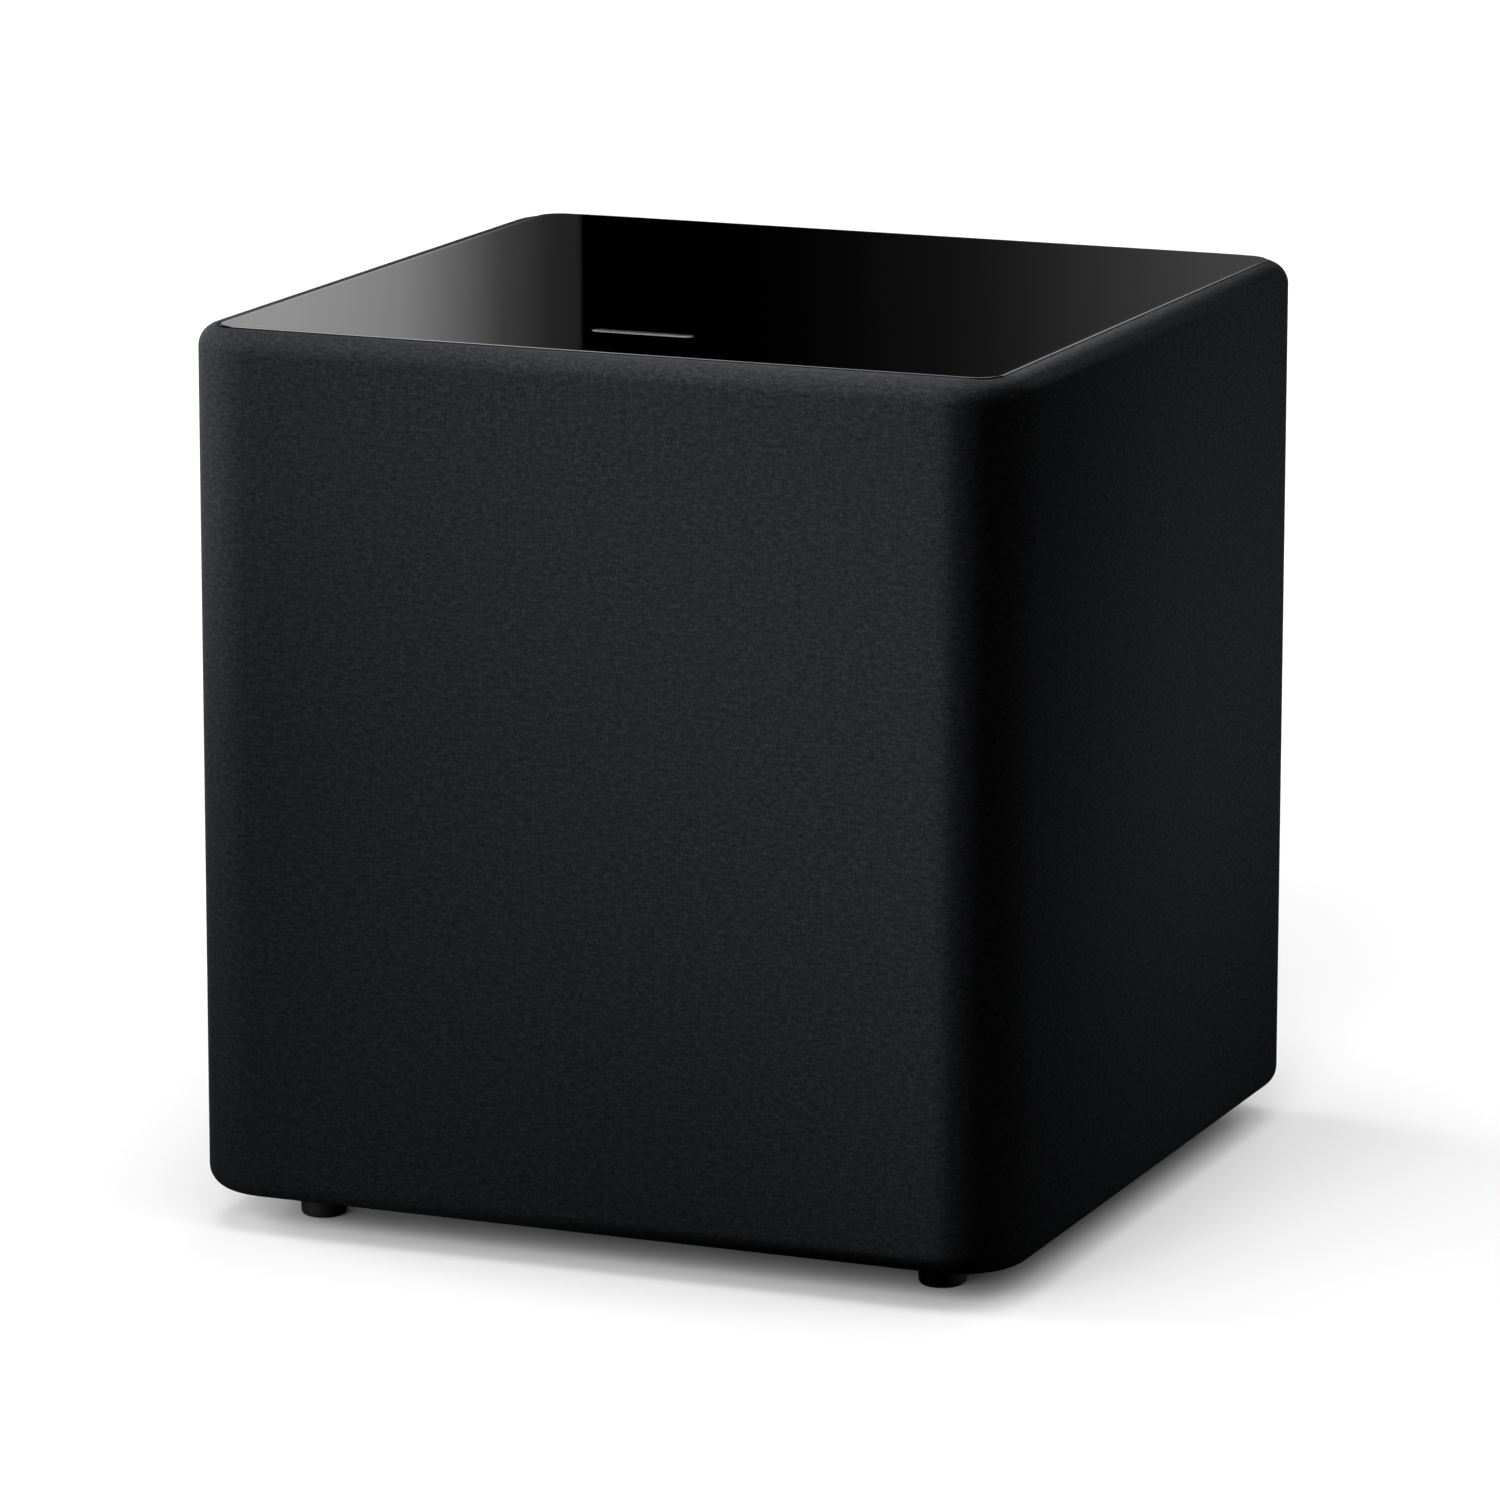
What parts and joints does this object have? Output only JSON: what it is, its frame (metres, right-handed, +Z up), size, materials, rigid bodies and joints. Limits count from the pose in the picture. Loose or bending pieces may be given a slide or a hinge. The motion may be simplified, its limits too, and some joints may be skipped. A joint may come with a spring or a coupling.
{
  "type": "powered subwoofer",
  "caption": "Cloth-covered cube subwoofer with a gloss black top panel, short rubber feet, a forward-firing woofer and a plate amplifier at the rear.",
  "frame": {"origin": "on the floor, at the middle of the overall footprint, which runs from the front cloth to the tips of the rear knobs", "axes": "+Z up; the front cloth faces -Y and the amplifier plate faces +Y; +X is to the right seen from the front"},
  "size_m": [0.393, 0.41, 0.409],
  "materials": {
    "gloss_panel": "high gloss black",
    "cabinet_board": "raw fibreboard",
    "baffle_board": "fibreboard stained black",
    "base_plastic": "fine moulded texture",
    "grille_plastic": "moulded black",
    "cloth": "fine charcoal weave",
    "padding": "polyester fibre",
    "rubber_black": "matt black",
    "screw_black": "black oxide",
    "brass_parts": "bright",
    "gold_contacts": "gold plated",
    "basket_paint": "textured black powder coat",
    "trim_plastic": "satin black",
    "surround_rubber": "satin butyl",
    "cone_paper": "pressed fibre, coated",
    "former_film": "amber film",
    "copper_winding": "enamelled copper",
    "spider_cloth": "impregnated cotton",
    "motor_steel": "zinc plated",
    "ferrite": "sintered ferrite",
    "wire_insulation": "red and black PVC",
    "amp_plate_paint": "fine black powder coat",
    "heat_sink_black": "black anodised",
    "enclosure_steel": "black zinc",
    "circuit_board": "solder mask",
    "transformer_tape": "amber tape",
    "knob_plastic": "satin black",
    "shaft_metal": "turned",
    "switch_metal": "tinned",
    "lever_plastic": "light grey",
    "insulator_white": "white nylon",
    "terminal_plastic": "black nylon",
    "inlet_plastic": "black thermoplastic",
    "rocker_plastic": "black, lightly polished",
    "lamp_lens": "clear diffused lens"
  },
  "bodies": {
    "root": {"top_panel": "gloss_panel", "top_board": "cabinet_board", "bottom_board": "cabinet_board", "base_plate": "base_plastic", "side_boards": "cabinet_board", "rear_board": "cabinet_board", "rear_corner_posts": "cabinet_board", "front_baffle": "baffle_board", "window_brace": "cabinet_board", "grille_frame": "grille_plastic", "grille_lattice": "grille_plastic", "cloth_cover": "cloth", "damping_pads": "padding", "foot_pads": "rubber_black", "foot_screws": "screw_black", "foot_inserts": "brass_parts", "basket": "basket_paint", "driver_gasket": "rubber_black", "trim_ring": "trim_plastic", "driver_screws": "screw_black", "surround": "surround_rubber", "spider": "spider_cloth", "motor_top_plate": "motor_steel", "magnet": "ferrite", "yoke": "motor_steel", "magnet_boot": "rubber_black", "driver_terminals": "brass_parts", "tinsel_leads": "copper_winding", "speaker_wires": "wire_insulation", "wire_grommet": "rubber_black", "amp_plate": "amp_plate_paint", "amp_gasket": "rubber_black", "amp_enclosure": "enclosure_steel", "amp_screws": "screw_black", "panel_screws": "screw_black", "heat_sink": "heat_sink_black", "amplifier_board": "circuit_board", "power_board": "circuit_board", "transformer": "transformer_tape", "potentiometers": "switch_metal", "slide_switch_bodies": "switch_metal", "rca_jacks": "gold_contacts", "rca_insulators": "insulator_white", "terminal_block": "terminal_plastic", "mains_inlet": "inlet_plastic", "inlet_pins": "switch_metal", "rocker_housing": "inlet_plastic", "status_lamp": "lamp_lens"},
    "cone_assembly": {"cone": "cone_paper", "dust_cap": "cone_paper", "coil_former": "former_film", "voice_coil": "copper_winding"},
    "volume_control": {"volume_knob": "knob_plastic", "volume_shaft": "shaft_metal"},
    "crossover_control": {"crossover_knob": "knob_plastic", "crossover_shaft": "shaft_metal"},
    "phase_lever": {"phase_switch_lever": "lever_plastic"},
    "eq_lever": {"eq_switch_lever": "lever_plastic"},
    "mode_lever": {"power_mode_lever": "lever_plastic"},
    "mains_rocker": {"power_rocker": "rocker_plastic"}
  },
  "joints": [
    {"name": "cone_travel", "type": "slide", "parent": "root", "child": "cone_assembly", "axis": [0, -1, 0], "range_m": [-0.01, 0.01], "stiffness_N_per_m": 3500, "deforming": ["surround", "spider", "tinsel_leads"]},
    {"name": "volume_turn", "type": "hinge", "parent": "root", "child": "volume_control", "pos_m": [0.078, 0.188, 0.2305], "axis": [0, 1, 0], "range_deg": [-150, 150]},
    {"name": "crossover_turn", "type": "hinge", "parent": "root", "child": "crossover_control", "pos_m": [0.026, 0.188, 0.2305], "axis": [0, 1, 0], "range_deg": [-150, 150]},
    {"name": "phase_slide", "type": "slide", "parent": "root", "child": "phase_lever", "axis": [-1, 0, 0], "range_m": [0, 0.004]},
    {"name": "eq_slide", "type": "slide", "parent": "root", "child": "eq_lever", "axis": [-1, 0, 0], "range_m": [-0.004, 0.004]},
    {"name": "mode_slide", "type": "slide", "parent": "root", "child": "mode_lever", "axis": [-1, 0, 0], "range_m": [0, 0.004]},
    {"name": "mains_rock", "type": "hinge", "parent": "root", "child": "mains_rocker", "pos_m": [-0.034, 0.1894, 0.1085], "axis": [1, 0, 0], "range_deg": [0, 16]}
  ]
}
